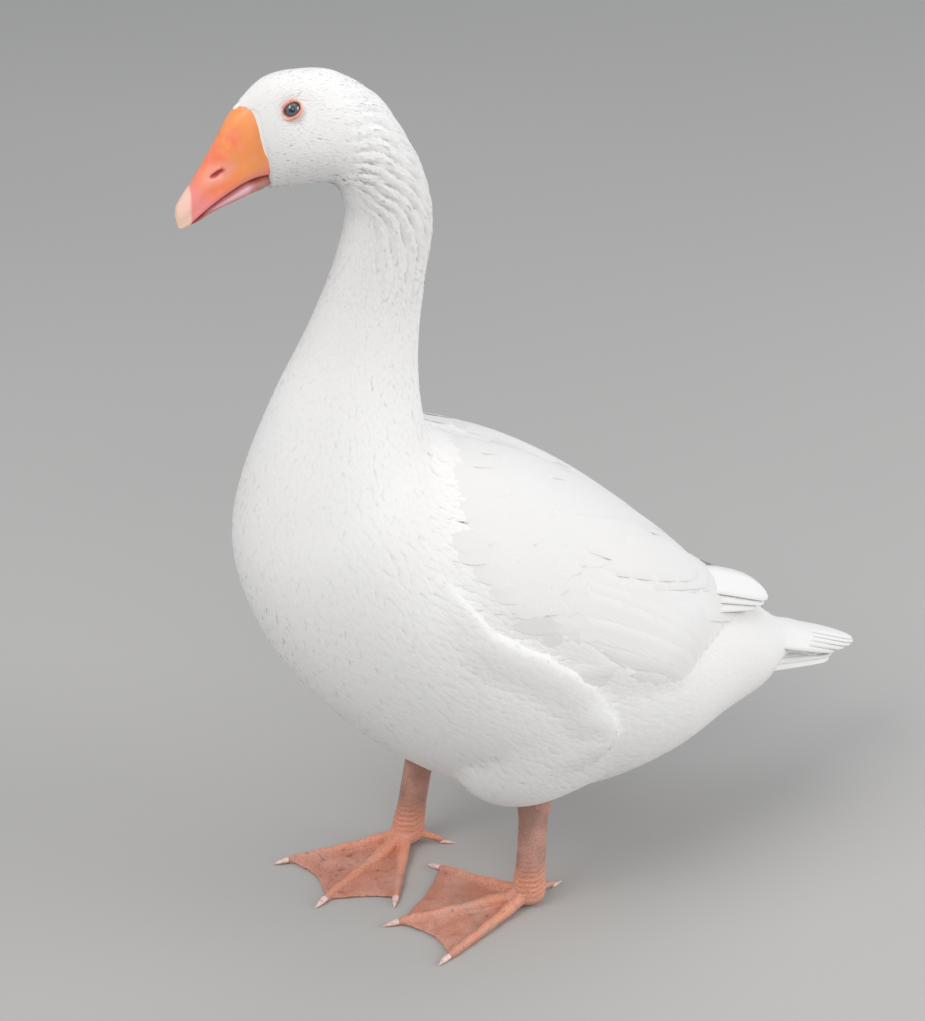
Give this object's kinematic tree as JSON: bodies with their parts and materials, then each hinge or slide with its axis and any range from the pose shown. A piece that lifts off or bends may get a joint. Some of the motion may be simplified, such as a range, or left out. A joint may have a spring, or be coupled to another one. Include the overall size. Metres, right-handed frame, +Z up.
{
  "type": "domestic goose",
  "caption": "White domestic goose standing on flat webbed feet with neck raised and bill lowered, a still life-size display model.",
  "frame": {"origin": "on the floor, under the middle of the whole model's box", "axes": "+Z up, the goose faces -Y, its left side is +X"},
  "size_m": [0.2656, 0.5452, 0.6531],
  "materials": {
    "plumage": "soft white feathers, matte with a faint sheen, cream on neck and back",
    "bill": "smooth satin orange bill skin fading to pink and a pale nail",
    "bill_pale": "pale pink satin lower bill",
    "eye": "wet glossy dark blue-grey eye",
    "leg_skin": "scaly matte orange leg and web skin with grime in the creases",
    "claw": "pale horn, slightly glossy"
  },
  "bodies": {
    "root": {"eye_left": "eye", "eye_right": "eye", "head": "plumage", "neck_upper": "plumage", "neck_lower": "plumage", "bill_upper": "bill", "bill_lower": "bill_pale", "wing_left": "plumage", "flight_feathers_left": "plumage", "wing_right": "plumage", "flight_feathers_right": "plumage", "tail": "plumage", "thigh_left": "plumage", "shank_left": "leg_skin", "foot_left": "leg_skin", "claw_middle_left": "claw", "claw_outer_left": "claw", "claw_inner_left": "claw", "claw_hind_left": "claw", "thigh_right": "plumage", "shank_right": "leg_skin", "foot_right": "leg_skin", "claw_middle_right": "claw", "claw_outer_right": "claw", "claw_inner_right": "claw", "claw_hind_right": "claw", "trunk": "plumage", "rump": "plumage"}
  },
  "joints": []
}
